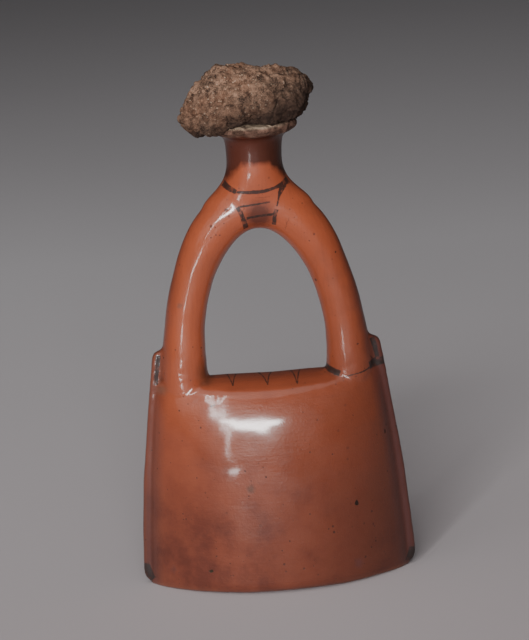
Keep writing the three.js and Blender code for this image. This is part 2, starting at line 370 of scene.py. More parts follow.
# %% Helpers: objects and modifiers
def as_object(bm, name):
    mesh = bpy.data.meshes.new(name)
    bm.to_mesh(mesh)
    bm.free()
    made = bpy.data.objects.new(name, mesh)
    bpy.context.scene.collection.objects.link(made)
    return made


def apply_modifiers(piece):
    graph = bpy.context.evaluated_depsgraph_get()
    made = bpy.data.meshes.new_from_object(piece.evaluated_get(graph))
    piece.modifiers.clear()
    piece.data = made


def one_skin(piece, voxel):
    """Lays one closed skin over the overlapping bodies of a piece."""
    remesh = piece.modifiers.new("one skin", "REMESH")
    remesh.mode = "VOXEL"
    remesh.voxel_size = voxel
    apply_modifiers(piece)


# %% Joined clay
SKIN_VOXEL = 0.73
WIPE_ROUNDS, RUB_ROUNDS = 38, 4


def wiped(place):
    """How far a joint at this place was wiped over, from 0 to 1."""
    x, z = abs(place.x), place.z
    foot = band(z, BAG_HEIGHT - 1, BAG_HEIGHT + 2, BAG_HEIGHT + 6, BAG_HEIGHT + 16)
    foot *= band(x, 12, 18, 37, 40)
    fold = 0.5 * band(z, BAG_HEIGHT - 14, BAG_HEIGHT - 8, BAG_HEIGHT - 1, BAG_HEIGHT + 1)
    fold *= 1 - ease(x, 38, 40)
    root = 0.7 * band(z, ARCH_TOP - 6, ARCH_TOP + 2, ARCH_TOP + 16, ARCH_TOP + 20)
    lip = 0.45 * band(z, NECK_TOP - 4, NECK_TOP, NECK_TOP + 1, NECK_TOP + 3)
    return max(foot, fold, root, lip)


flask = as_object(clay, "flask_clay")
one_skin(flask, SKIN_VOXEL)
joints = flask.vertex_groups.new(name="joints")
for v in flask.data.vertices:
    joints.add([v.index], wiped(v.co), "REPLACE")
for name, group, rounds in [("wipe", "joints", WIPE_ROUNDS), ("rub", "", RUB_ROUNDS)]:
    smooth = flask.modifiers.new(name, "SMOOTH")
    smooth.vertex_group = group
    smooth.iterations = rounds
apply_modifiers(flask)
print("joined:", len(flask.data.polygons), "faces")


# %% Waviness
def read(piece, field):
    """The places or the normals of all the vertices, as an array."""
    values = np.empty(3 * len(piece.data.vertices))
    piece.data.vertices.foreach_get(field, values)
    return values.reshape(-1, 3)


def push(piece, height):
    """Moves each vertex along its normal by the height that a function gives for its place."""
    places, normals = read(piece, "co"), read(piece, "normal")
    heights = np.array([height(Vector(place)) for place in places])
    places += heights[:, None] * normals
    piece.data.vertices.foreach_set("co", places.ravel())
    piece.data.update()


def waviness(place):
    """How far the hand-shaped surface stands out at a place, in millimetres."""
    if place.z > NECK_TOP + 1.5:
        return -0.7 * ease(noise.noise(place / 3.2 + Vector((4, 4, 9))), -0.3, 0.4)
    slow = noise.noise(place / 19 + Vector((3, 7, 1))) * 0.32
    quick = noise.noise(place / 6.5 + Vector((11, 2, 5))) * 0.07
    near_roof = band(place.z, BAG_HEIGHT - 7, BAG_HEIGHT - 3, BAG_HEIGHT + 8, BAG_HEIGHT + 14)
    dents = noise.noise(place / 2.9 + Vector((6, 6, 2))) * 0.13
    quick += dents * near_roof * ease(abs(place.x), 12, 20)
    return max(slow + quick, -0.9 * place.z) if place.z < 1 else slow + quick


push(flask, waviness)
for v in flask.data.vertices:
    v.co.z = max(0, v.co.z)
print("skin:", len(flask.data.polygons), "faces")

# %% [markdown]
# ## The hollow
#
# The flask really holds liquid. Its hollow is made like its outside, from the bag, the arch and a
# turned mouth, each drawn in by the wall, and taken away with a Boolean. The mouth is a profile
# spun round the neck's axis.

# %% Hollow
HOLLOW_VOXEL = 1.7
MOUTH_FLARE = 2.5


def turned(bm, profile, steps=48):
    """Spins a profile of (radius, height) pairs round the neck's axis."""
    line = [bm.verts.new((NECK_OFFSET + radius, 0, z)) for radius, z in profile]
    edges = [bm.edges.new(pair) for pair in zip(line, line[1:])]
    bmesh.ops.spin(
        bm,
        geom=line + edges,
        cent=(NECK_OFFSET, 0, 0),
        axis=(0, 0, 1),
        angle=2 * pi,
        steps=steps,
        use_merge=True,
    )
    bmesh.ops.remove_doubles(bm, verts=bm.verts, dist=0.001)


def take_away(piece, cutter):
    cut = piece.modifiers.new("cut", "BOOLEAN")
    cut.operation = "DIFFERENCE"
    cut.solver = "MANIFOLD"
    cut.object = cutter
    apply_modifiers(piece)
    bpy.data.objects.remove(cutter)


hollow = bmesh.new()
turned(
    hollow,
    [
        (0, ARCH_TOP - 3),
        (ARM_CROWN_RADIUS - WALL - 1, ARCH_TOP),
        (MOUTH_RADIUS, ARCH_TOP + 6),
        (MOUTH_RADIUS, LIP_TOP - 1.5),
        (MOUTH_RADIUS + MOUTH_FLARE, LIP_TOP + 1),
        (MOUTH_RADIUS + MOUTH_FLARE, LIP_TOP + 6),
        (0, LIP_TOP + 6),
    ],
)
round_body(hollow, 96, bag_rings(WALL, FLOOR))
round_body(hollow, 32, arch_rings(WALL, ARCH_ROOT + WALL, 40))
bmesh.ops.recalc_face_normals(hollow, faces=hollow.faces)
hollow = as_object(hollow, "hollow")
one_skin(hollow, HOLLOW_VOXEL)
take_away(flask, hollow)
flask.data.calc_loop_triangles()
print("flask:", len(flask.data.loop_triangles), "triangles")

# %% [markdown]
# ## Painted lines
#
# The pot has thin black lines: a ring round the root of the neck, a ladder down the front of the
# crown, narrow pendants across the roof, and strokes at the arch's feet and along the seams. A
# texture would need a UV map, so each stroke is stored on the clay itself. Every vertex near a
# stroke keeps three numbers: how far it lies to the side of the brush line, how far past its end,
# and the half width of the brush there. These change evenly between vertices, so the shader can
# draw an edge that is much finer than the mesh. Two layers let strokes cross.

# %% Strokes, in millimetres: layer, half width at both ends, the points, where to repeat it
STROKES = [
    # The ring round the root of the neck, and the ladder on the crown.
    (0, 1.35, 0.9, [(-12.4, -2.2, 152.4), (-9.8, -6, 150.6), (-7.4, -8, 149.3)], "back"),
    (0, 0.5, 0.75, [(-7.4, -8, 149.3), (-3.6, -9.2, 149), (-1, -9.4, 149)], "back"),
    (0, 0.85, 0.6, [(-1.5, -9.4, 149), (2.5, -9.4, 149.1), (6.6, -8.5, 149.9)], "back"),
    (0, 0.6, 1.5, [(6.6, -8.5, 149.9), (10, -6.4, 151), (12.4, -3, 152)], "back"),
    (0, 0.42, 0.35, [(-6.5, -8.4, 143.8), (0, -8.8, 144.4), (4.6, -8.4, 144.9)], "back"),
    (0, 0.55, 0.5, [(-4.4, -8.3, 139.3), (0, -8.7, 139.7), (5.8, -8.6, 140.3)], "back"),
    (1, 0.75, 1.0, [(-7.4, -8.4, 143.8), (-6, -8.7, 140.6), (-4.6, -5.9, 135.2)], "back"),
    (1, 1.5, 0.6, [(10.3, -6.4, 151), (8.8, -7.8, 148.4), (8, -8.1, 146.6)], "back"),
    (1, 0.4, 0.35, [(8, -8.1, 146.6), (7.6, -8.1, 145.2), (7, -8.1, 143)], "back"),
    (1, 0.75, 0.8, [(6.8, -8.3, 142), (6, -8.7, 140), (5.6, -6.9, 135.9)], "back"),
    # Pendants across the roof, from its back edge to its front.
    (0, 0.3, 0.25, [(-15.4, 9, 76.5), (-14.6, 0, 78), (-13.4, -8.4, 76.7)], ""),
    (1, 0.3, 0.25, [(-10.9, 9, 76.5), (-12.3, 0, 78), (-13.4, -8.4, 76.7)], ""),
    (0, 0.3, 0.25, [(-4, 9, 76.5), (-2.2, 0, 78), (-0.6, -9.4, 76.3)], ""),
    (1, 0.3, 0.25, [(2.4, 9, 76.5), (0.6, 0, 78), (-0.6, -9.4, 76.3)], ""),
    (0, 0.3, 0.25, [(8, 9, 76.5), (9.3, 0, 78), (10.3, -10.3, 76.1)], ""),
    (1, 0.3, 0.25, [(13, 9, 76.5), (11.6, 0, 78), (10.3, -10.3, 76.1)], ""),
    # Strokes at the arch's feet, inside and outside.
    (0, 1.1, 1.2, [(22.1, -0.2, 80), (24.2, -4, 79), (26.5, -7.5, 78.2)], "back"),
    (0, 1.5, 1.5, [(38, -5.6, 79.8), (40.6, -4.2, 80.3), (44.2, -1.4, 80.8)], "back"),
    (1, 0.4, 0.14, [(38.4, -5.8, 79.2), (33, -8.4, 78), (27, -9.8, 77.3)], ""),
    # Beside the crest of each seam, at its tab.
    (0, 0.95, 0.75, [(-40.1, -2.4, 89), (-40.8, -2.6, 84), (-41.9, -2.8, 77.5)], "back"),
    (0, 1.1, 0.8, [(39.4, -2.4, 90), (40.3, -2.6, 86), (41, -2.8, 82)], "back"),
    # The ends of the foot, in black.
    (0, 3.2, 1.4, [(-49.6, -2.6, 0.5), (-50.2, -2, 4), (-50.6, -1.4, 8.5)], "back"),
    (0, 2.6, 1.4, [(49.4, -2.6, 1), (50.2, -2, 4), (50.2, -1.4, 7)], "back"),
]
print("strokes:", len(STROKES), "of paint")

# %% Store the strokes on the clay
STROKE_REACH = 6.0
NO_STROKE = [99.0, 99.0, 0.0]
surface = BVHTree.FromObject(flask, bpy.context.evaluated_depsgraph_get())
count = len(flask.data.vertices)
places, normals = read(flask, "co"), read(flask, "normal")


def stroke_values(points, start, end):
    """Sideways distance, distance past the ends and half width, for the vertices near a stroke."""
    line = [surface.find_nearest(point) for point in through(points, 5)]
    spots = np.array([found[0] for found in line])
    facing = np.array([found[1] for found in line])
    legs = np.diff(spots, axis=0)
    sizes = np.linalg.norm(legs, axis=1)
    far = np.concatenate([[0], np.cumsum(sizes)])
    best = np.full(count, STROKE_REACH)
    values = np.tile(NO_STROKE, (count, 1))
    for i, (leg, size) in enumerate(zip(legs, sizes)):
        step = places - spots[i]
        along = step @ leg / size
        free = along.copy()
        along = np.clip(along, 0, size)
        gap = np.linalg.norm(step - along[:, None] * leg / size, axis=1)
        near = (gap < best) & (normals @ facing[i] > 0.1)
        side = np.cross(leg / size, facing[i])
        best[near] = gap[near]
        low = free if i == 0 else along
        high = free if i == len(legs) - 1 else along
        past = np.maximum(-(far[i] + low), far[i] + high - far[-1])
        values[near, 0] = (step @ side)[near]
        # A vertex well beside the brush counts as past the end too, so no paint reaches it.
        values[near, 1] = np.maximum(past, gap - 1.6 * max(start, end) - 1)[near]
        values[near, 2] = mix(start, end, (far[i] + along) / far[-1])[near]
    return best, values


layers = [np.tile(NO_STROKE, (count, 1)) for _ in range(2)]
nearest = [np.full(count, STROKE_REACH) for _ in range(2)]
for layer, start, end, points, again in STROKES:
    for side in (1, -1) if again else (1,):
        found, values = stroke_values([(x, side * y, z) for x, y, z in points], start, end)
        closer = found < nearest[layer]
        nearest[layer][closer] = found[closer]
        layers[layer][closer] = values[closer]
for name, values in zip(("stroke_a", "stroke_b"), layers):
    kept = flask.data.attributes.new(name, "FLOAT_VECTOR", "POINT")
    kept.data.foreach_set("vector", values.ravel())
print("painted vertices:", int((np.minimum(*nearest) < STROKE_REACH).sum()), "of", count)

# %% [markdown]
# ## Marks, stains and creases
#
# The slip has chips, a gray stain and a few larger pits, and two broad dark patches, at the crown
# under the neck and inside the left foot of the arch, are partly painted shade. Each vertex keeps
# the centre, the size and the colour of the mark nearest to it, and the shader measures the rest.

# %% Marks, in millimetres: place, radius, how flat, softness, colour
MARKS = [
    ((-9.7, -21.8, 40.8), 2.0, 1.0, 1.2, (0.09, 0.05, 0.038, 0.75)),
    ((29.3, -16.5, 30.6), 0.85, 0.62, 0.25, (0.012, 0.008, 0.006, 0.95)),
    ((-26.4, -18.8, 9.2), 1.1, 1.7, 0.25, (0.02, 0.017, 0.008, 0.95)),
    ((-40.1, -10.5, 8.2), 1.9, 1.0, 1.5, (0.09, 0.03, 0.026, 0.7)),
    ((28.7, -17.8, 7.6), 2.4, 0.9, 1.8, (0.09, 0.032, 0.028, 0.75)),
    ((-3.9, -21.9, 45), 0.42, 0.8, 0.25, (0.02, 0.01, 0.008, 0.9)),
    ((-29.1, -15.6, 44.7), 0.4, 1.0, 0.25, (0.03, 0.012, 0.01, 0.8)),
    ((42.1, -5.4, 54.2), 0.6, 0.6, 0.25, (0.02, 0.01, 0.008, 0.9)),
    ((30, -12.6, 63.4), 0.4, 1.0, 0.3, (0.03, 0.012, 0.01, 0.8)),
    ((-30.7, -6.7, 108.1), 1.5, 1.1, 0.9, (0.13, 0.06, 0.045, 0.6)),
    ((-11.6, -7.9, 142.9), 0.8, 1.0, 0.5, (0.05, 0.014, 0.01, 0.8)),
    ((-17.4, -7.9, 137.4), 0.6, 0.9, 0.3, (0.05, 0.02, 0.014, 0.8)),
    ((19.8, -8.1, 131.7), 0.5, 0.8, 0.3, (0.07, 0.02, 0.014, 0.8)),
    ((24.4, -15.2, 13.2), 0.35, 0.8, 0.25, (0.04, 0.012, 0.01, 0.8)),
    ((34.5, -12.5, 21), 0.4, 0.7, 0.25, (0.04, 0.012, 0.01, 0.8)),
    ((-38, -3, 88), 0.5, 1.0, 0.3, (0.03, 0.012, 0.01, 0.8)),
    ((33.5, -7.3, 89), 0.6, 1.2, 0.3, (0.03, 0.012, 0.01, 0.85)),
    ((-3, 9.6, 76.4), 2.2, 2.0, 0.6, (0.012, 0.009, 0.008, 0.9)),
    ((4, 9.6, 76.4), 2.6, 2.2, 0.6, (0.012, 0.009, 0.008, 0.9)),
    # The front of the crown under the neck is darkened: a brown wash and painted shade.
    ((0.4, -8.8, 140), 7.2, 1.0, 4.2, (0.06, 0.02, 0.015, 0.85)),
    # The inner side of the left foot of the arch is darkened: dirt and painted shade.
    ((-24, -4, 81), 5.5, 0.8, 4.5, (0.05, 0.024, 0.014, 0.6)),
    ((-41.5, -5.5, 76.6), 4.0, 1.5, 3.2, (0.12, 0.06, 0.04, 0.6)),
]
centres = np.array([surface.find_nearest(mark[0])[0] for mark in MARKS])
gaps = np.linalg.norm(places[:, None] - centres[None], axis=2)
chosen = gaps.argmin(axis=1)
looks = np.array([mark[1:4] for mark in MARKS])[chosen]
looks[gaps.min(axis=1) > 3 * looks[:, 0] + 1.5, 0] = 0
for name, kind, field, values in [
    ("mark_centre", "FLOAT_VECTOR", "vector", centres[chosen] / 1000),
    ("mark_look", "FLOAT_VECTOR", "vector", looks),
    ("mark_colour", "FLOAT_COLOR", "color", np.array([mark[4] for mark in MARKS])[chosen]),
]:
    kept = flask.data.attributes.new(name, kind, "POINT")
    kept.data.foreach_set(field, values.ravel())
print("marks:", len(MARKS))

# %% [markdown]
# ## Creases, edges and seams
#
# Creases are darkened, partly as dirt and partly as painted shade, and edges are worn by handling.
# To tell them apart, the clay is smoothed in a copy: a vertex below the smoothed surface is in a
# crease, and one above it is on an edge.
# One more number says how far a vertex lies out past the bag's end, which is where the seams are.

# %% Creases and seams
CREASE_ROUNDS = 24
SEAM_REACH = 5
pairs = np.empty(2 * len(flask.data.edges), dtype=int)
flask.data.edges.foreach_get("vertices", pairs)
pairs = pairs.reshape(-1, 2)
share = np.bincount(pairs.ravel(), minlength=count)
smoothed = places.copy()
for _ in range(CREASE_ROUNDS):
    for axis in range(3):
        values = smoothed[:, axis]
        total = np.bincount(pairs[:, 0], values[pairs[:, 1]], count)
        total += np.bincount(pairs[:, 1], values[pairs[:, 0]], count)
        smoothed[:, axis] = mix(values, total / np.maximum(1, share), 0.5)
crease = ((smoothed - places) * normals).sum(axis=1)
past_end = np.abs(places[:, 0]) - np.array([half_length(z) for z in places[:, 2]])
for name, values in (("crease", crease), ("seam", np.maximum(past_end, -SEAM_REACH))):
    kept = flask.data.attributes.new(name, "FLOAT", "POINT")
    kept.data.foreach_set("value", values)
print("crease from", crease.min().round(2), "to", crease.max().round(2), "mm")

# %% [markdown]
# ## Shared effects
#
# Two effects serve both the pottery and the mud, so each is a node group with its own inputs.
# Specks are scattered dots of uneven size, for pits in the slip and dark grains in the mud. Grain
# is layered noise, as a colour share and as a height. A third group turns a stored stroke into a
# mask with a ragged edge, once for each layer of strokes.

# %% Helpers: nodes
def add(tree, kind, inputs=None, **settings):
    """Adds a node, sets its fields, and fills or links its inputs."""
    made = tree.nodes.new(kind)
    for key, value in settings.items():
        setattr(made, key, value)
    for key, value in (inputs or {}).items():
        if isinstance(value, bpy.types.NodeSocket):
            tree.links.new(value, made.inputs[key])
        else:
            made.inputs[key].default_value = value
    return made


def number(tree, operation, *values):
    made = add(tree, "ShaderNodeMath", dict(enumerate(values)), operation=operation)
    return made.outputs[0]


def plus(tree, a, b):
    return number(tree, "ADD", a, b)


def minus(tree, a, b):
    return number(tree, "SUBTRACT", a, b)


def times(tree, a, b):
    return number(tree, "MULTIPLY", a, b)


def most(tree, a, b):
    return number(tree, "MAXIMUM", a, b)


def split(tree, vector):
    """The three numbers of a vector."""
    return add(tree, "ShaderNodeSeparateXYZ", {"Vector": vector}).outputs


def spread(tree, value, low, high, to_low=0.0, to_high=1.0):
    """Maps a value from one range to another, and clamps it."""
    keys = ("Value", "From Min", "From Max", "To Min", "To Max")
    made = add(tree, "ShaderNodeMapRange", dict(zip(keys, (value, low, high, to_low, to_high))))
    return made.outputs[0]


def blend(tree, mask, under, over):
    """Lays one colour over another by a mask."""
    return add(tree, "ShaderNodeMix", {0: mask, 6: under, 7: over}, data_type="RGBA").outputs[2]


def clouds(tree, where, scale, detail=3, roughness=0.55, stretch=(1, 1, 1)):
    """Noise on a position, which may be stretched first."""
    moved = add(tree, "ShaderNodeMapping", {"Vector": where, "Scale": stretch}).outputs[0]
    keys = {"Vector": moved, "Scale": scale, "Detail": detail, "Roughness": roughness}
    return add(tree, "ShaderNodeTexNoise", keys).outputs[0]


def new_group(name, inputs, outputs):
    """Starts a shader node group with named inputs and outputs."""
    tree = bpy.data.node_groups.new(name, "ShaderNodeTree")
    for title, kind, value in inputs:
        made = tree.interface.new_socket(title, in_out="INPUT", socket_type=kind)
        if value is not None:
            made.default_value = value
    for title, kind in outputs:
        tree.interface.new_socket(title, in_out="OUTPUT", socket_type=kind)
    return tree, add(tree, "NodeGroupInput").outputs, add(tree, "NodeGroupOutput")


def use_group(tree, group, inputs):
    return add(tree, "ShaderNodeGroup", inputs, node_tree=group).outputs


NUMBER, PLACE = "NodeSocketFloat", "NodeSocketVector"
print("node helpers ready")

# %% Group: specks
specks, given, result = new_group(
    "specks",
    [("Position", PLACE, None), ("Per metre", NUMBER, 400), ("Size", NUMBER, 0.2),
     ("Amount", NUMBER, 0.4)],
    [("Mask", NUMBER)],
)
dots = add(specks, "ShaderNodeTexVoronoi", {"Vector": given["Position"], "Scale": given["Per metre"]})
lottery = add(specks, "ShaderNodeSeparateColor", {"Color": dots.outputs["Color"]}).outputs
wobble = clouds(specks, given["Position"], 2500, 2)
size = times(specks, given["Size"], spread(specks, lottery[1], 0, 1, 0.35, 1))
edge = plus(specks, dots.outputs["Distance"], times(specks, wobble, 0.12))
inside = spread(specks, edge, plus(specks, size, 0.1), plus(specks, size, 0.03))
picked = number(specks, "LESS_THAN", lottery[0], given["Amount"])
specks.links.new(times(specks, inside, picked), result.inputs["Mask"])
print("group", specks.name)

# %% Group: grain
grain, given, result = new_group(
    "grain",
    [("Position", PLACE, None), ("Coarse", NUMBER, 300), ("Fine", NUMBER, 2000)],
    [("Share", NUMBER), ("Height", NUMBER)],
)
coarse = clouds(grain, given["Position"], given["Coarse"], 4, 0.6)
fine = clouds(grain, given["Position"], given["Fine"], 3, 0.7)
both = plus(grain, coarse, fine)
grain.links.new(spread(grain, both, 0.82, 1.2), result.inputs["Share"])
grain.links.new(number(grain, "MULTIPLY_ADD", fine, 0.4, coarse), result.inputs["Height"])
print("group", grain.name)

# %% Group: brush stroke
brush, given, result = new_group(
    "brush_stroke",
    [("Stroke", PLACE, None), ("Position", PLACE, None), ("Ragged", NUMBER, 0.25),
     ("Worn", NUMBER, 0.5)],
    [("Mask", NUMBER)],
)
sideways, past_end, half_width = split(brush, given["Stroke"])
wobble = minus(brush, clouds(brush, given["Position"], 900, 3), 0.5)
wobble = times(brush, wobble, given["Ragged"])
beside = minus(brush, half_width, number(brush, "ABSOLUTE", sideways))
within = number(brush, "MINIMUM", beside, times(brush, past_end, -1))
solid = spread(brush, minus(brush, within, wobble), -0.06, 0.16)
thin = spread(brush, clouds(brush, given["Position"], 420, 5, 0.7), 0.36, 0.56)
thin = number(brush, "MINIMUM", plus(brush, thin, minus(brush, 1, given["Worn"])), 1)
brush.links.new(times(brush, solid, thin), result.inputs["Mask"])
print("group", brush.name)

# %% [markdown]
# ## Burnished slip
#
# The slip is a thin wash of iron-rich clay, orange where it is thin. It is red-brown at the foot,
# which is partly the fire's colour and partly painted shade, and darker towards the right end,
# which is painted shade. Rubbing it with a pebble left faint marks, which run along the bag and up
# the arms. Each of these is one mask, and the colours are laid over each other in turn.

# %% Slip colour
def new_material(name):
    made = bpy.data.materials.new(name)
    made.use_nodes = True
    tree = made.node_tree
    tree.nodes.clear()
    where = add(tree, "ShaderNodeTexCoord").outputs["Object"]
    return made, tree, where


SLIP_LOW, SLIP_HIGH = (0.1, 0.023, 0.013, 1), (0.3, 0.068, 0.029, 1)
SLIP_MOTTLED = (0.36, 0.09, 0.038, 1)
SLIP_RUBBED = (0.16, 0.04, 0.022, 1)
SLIP_PAINTED_SHADE = (0.06, 0.02, 0.014, 1)
pottery, tree, where = new_material("burnished_slip")
x, _, z = split(tree, where)
slow = clouds(tree, where, 22, 3, 0.6)
# Darker towards the foot: partly the fired colour, partly painted shade.
fired_and_shaded = plus(tree, spread(tree, z, 0.012, 0.106), minus(tree, slow, 0.5))
body = blend(tree, spread(tree, fired_and_shaded, 0, 1), SLIP_LOW, SLIP_HIGH)
mottle = spread(tree, clouds(tree, where, 95, 5, 0.65), 0.35, 0.7)
body = blend(tree, times(tree, mottle, 0.35), body, SLIP_MOTTLED)
along_bag = clouds(tree, where, 1000, 4, 0.6, (0.07, 0.5, 1))
up_arms = clouds(tree, where, 900, 4, 0.6, (1, 1, 0.08))
rubbed = blend(tree, spread(tree, z, 0.072, 0.08), along_bag, up_arms)
body = blend(tree, spread(tree, rubbed, 0.5, 0.8, 0, 0.3), body, SLIP_RUBBED)
# Painted shade: the slip darkens towards the right end and lower down, away from the light on the left.
painted_shade_right_low = plus(tree, x, times(tree, mottle, 0.008))
painted_shade_right_low = minus(tree, painted_shade_right_low, times(tree, z, 0.17))
body = blend(tree, spread(tree, painted_shade_right_low, -0.006, 0.038, 0, 0.68), body, SLIP_PAINTED_SHADE)
print("slip colours:", len(tree.nodes), "nodes")

# %% [markdown]
# ## Soot, wear, dirt and painted shade
#
# The neck is black with soot down to a ragged line. The line is drawn lower at the sides and the
# soot darker on the right, which is painted shade. The stored crease and seam numbers find the
# edges that are worn bright, the seams, darkened as painted shade, and the creases, darkened as
# dirt and painted shade. Fine dark specks are sand and pits in the clay, and they come in patches.

# %% Soot, wear, dirt and painted shade
def stored(tree, name, output="Vector"):
    return add(tree, "ShaderNodeAttribute", attribute_name=name).outputs[output]


SOOT, SOOT_IN_PAINTED_SHADE = (0.05, 0.013, 0.008, 1), (0.022, 0.008, 0.005, 1)
WORN_SLIP, SEAM_PAINTED_SHADE = (0.44, 0.13, 0.055, 1), (0.06, 0.022, 0.02, 1)
CREASE_DIRT_AND_SHADE, SPECK_TONE = (0.035, 0.014, 0.01, 1), (0.03, 0.012, 0.009, 1)
# Soot down to a ragged line; the line drops lower at the neck's sides and the soot is darker on the
# right, both painted shade.
soot_and_painted_shade = plus(tree, z, times(tree, clouds(tree, where, 320, 4), 0.004))
shaded_sides = spread(tree, number(tree, "ABSOLUTE", x), 0.005, 0.0105, 0, 0.006)
soot_and_painted_shade = spread(tree, plus(tree, soot_and_painted_shade, shaded_sides), 0.1598, 0.1628, 0, 0.92)
body = blend(tree, soot_and_painted_shade, body, blend(tree, spread(tree, x, -0.002, 0.008), SOOT, SOOT_IN_PAINTED_SHADE))
crease_mm = stored(tree, "crease", "Fac")
worn = spread(tree, times(tree, crease_mm, -1), 0.2, 0.6, 0, 0.3)
body = blend(tree, worn, body, WORN_SLIP)
# Painted shade on the seams past the bag's ends, deepest on the right.
seam_painted_shade = plus(tree, stored(tree, "seam", "Fac"), times(tree, mottle, 1.5))
seam_painted_shade = times(tree, spread(tree, seam_painted_shade, -4.5, 1.2), spread(tree, x, -0.03, 0.03, 0.62, 0.88))
body = blend(tree, seam_painted_shade, body, SEAM_PAINTED_SHADE)
# Creases are darkened: dirt and painted shade.
body = blend(tree, spread(tree, crease_mm, 0.12, 0.6, 0, 0.8), body, CREASE_DIRT_AND_SHADE)
pits = use_group(tree, specks, {"Position": where, "Per metre": 260.0, "Size": 0.15, "Amount": 0.3})
sand = use_group(tree, specks, {"Position": where, "Per metre": 620.0, "Size": 0.2, "Amount": 0.2})
patchy = spread(tree, clouds(tree, where, 45, 2), 0.45, 0.6, 0.25, 0.85)
dotted = times(tree, most(tree, pits["Mask"], sand["Mask"]), patchy)
body = blend(tree, dotted, body, SPECK_TONE)
print("with soot, wear and dirt:", len(tree.nodes), "nodes")

# %% [markdown]
# ## Marks and paint on the slip
#
# The shader measures how far a point lies from the stored centre of its mark, squeezes that for a
# flat mark, and makes the edge uneven. The paint is the larger of the two layers of strokes, a
# thin black wash that has flaked a little.

# %% Marks and paint
def vector_sum(tree, operation, *vectors):
    return add(tree, "ShaderNodeVectorMath", dict(enumerate(vectors)), operation=operation).outputs


BLACK_PAINT = (0.016, 0.013, 0.012, 1)
radius, flat, soft = split(tree, stored(tree, "mark_look"))
to_mm = add(tree, "ShaderNodeCombineXYZ", {"X": 1000.0, "Y": 1000.0, "Z": times(tree, flat, 1000)})
offset = vector_sum(tree, "SUBTRACT", where, stored(tree, "mark_centre"))[0]
away = vector_sum(tree, "LENGTH", vector_sum(tree, "MULTIPLY", offset, to_mm.outputs[0])[0])["Value"]
uneven = minus(tree, clouds(tree, where, 900, 3), 0.5)
uneven = times(tree, uneven, number(tree, "MINIMUM", times(tree, radius, 1.3), 2))
marked = spread(tree, plus(tree, away, uneven), radius, minus(tree, radius, soft))
colour = add(tree, "ShaderNodeAttribute", attribute_name="mark_colour").outputs
marked = times(tree, marked, colour["Alpha"])
marked = times(tree, marked, number(tree, "GREATER_THAN", radius, 0.05))
body = blend(tree, marked, body, colour["Color"])
masks = []
for name in ("stroke_a", "stroke_b"):
    look = {"Stroke": stored(tree, name), "Position": where, "Ragged": 0.5, "Worn": 0.55}
    masks.append(use_group(tree, brush, look)["Mask"])
painted = most(tree, *masks)
body = blend(tree, times(tree, painted, 0.9), body, BLACK_PAINT)
print("with marks and paint:", len(tree.nodes), "nodes")

# %% [markdown]
# ## Mud on the lip
#
# Closing the mouth smeared wet mud over the lip. It is pale along its top on the left and in the
# middle, partly a film of dried silt and partly painted light. It has the same grain as the stopper
# and hides everything under it.

# %% Mud on the lip
SMEAR, DRY_SMEAR, SILT_AND_LIGHT = (0.035, 0.018, 0.012, 1), (0.19, 0.105, 0.075, 1), (0.45, 0.34, 0.24, 1)
smear = plus(tree, z, times(tree, clouds(tree, where, 260, 4), 0.004))
smear = spread(tree, smear, 0.1715, 0.1727)
dusty = use_group(tree, grain, {"Position": where, "Coarse": 500.0, "Fine": 3000.0})
# Pale along the top of the smear, fading towards the right: dried silt and painted light.
silt_and_light = times(tree, spread(tree, z, 0.1727, 0.1737), spread(tree, dusty["Height"], 0.5, 0.8))
silt_and_light = times(tree, silt_and_light, spread(tree, x, 0.013, 0.006))
smear_tone = blend(tree, silt_and_light, blend(tree, dusty["Share"], SMEAR, DRY_SMEAR), SILT_AND_LIGHT)
body = blend(tree, smear, body, smear_tone)
print("with mud on the lip:", len(tree.nodes), "nodes")

# %% [markdown]
# ## Shine and relief
#
# Burnishing closes the surface and leaves a waxy shine, so the shader has a satin base and a thin
# coat. The coat is missing on soot, mud and damage, and thinner on the right, which was rubbed
# less. The relief is very low: pebble marks, the unevenness of the clay, and broken spots.

# %% Shine and relief
def principled(tree, looks):
    """Ends a material with a Principled shader of these looks."""
    shader = add(tree, "ShaderNodeBsdfPrincipled", looks)
    add(tree, "ShaderNodeOutputMaterial", {"Surface": shader.outputs[0]})


broken = most(tree, marked, dotted)
rough = spread(tree, clouds(tree, where, 140, 4, 0.6), 0.3, 0.7, 0.3, 0.44)
rough = plus(tree, plus(tree, rough, times(tree, painted, 0.08)), times(tree, broken, 0.3))
rough = most(tree, rough, times(tree, smear, 0.9))
dull = most(tree, most(tree, smear, marked), times(tree, soot_and_painted_shade, 0.8))
rubbed_well = spread(tree, plus(tree, x, times(tree, slow, 0.03)), 0.015, 0.045, 0.8, 0.35)
height = times(tree, clouds(tree, where, 330, 4, 0.6), 0.6)
height = plus(tree, height, times(tree, clouds(tree, where, 1300, 3, 0.6), 0.5))
height = plus(tree, height, times(tree, rubbed, 0.5))
height = minus(tree, height, times(tree, broken, 0.5))
height = plus(tree, height, times(tree, times(tree, dusty["Height"], smear), 3))
bump = add(tree, "ShaderNodeBump", {"Strength": 0.5, "Distance": 0.0003, "Height": height})
principled(
    tree,
    {
        "Base Color": body,
        "Roughness": rough,
        "Specular IOR Level": 0.2,
        "Coat Weight": times(tree, minus(tree, 1, dull), rubbed_well),
        "Coat Roughness": 0.12,
        "Normal": bump.outputs[0],
    },
)
print("burnished slip:", len(tree.nodes), "nodes")

# %% [markdown]
# ## Finish the flask
#
# The mesh is shrunk to metres, smooth shaded, and takes the place of the CAD solid, which stays
# hidden for collision. It rides on the one body, with the burnished slip as its finish.

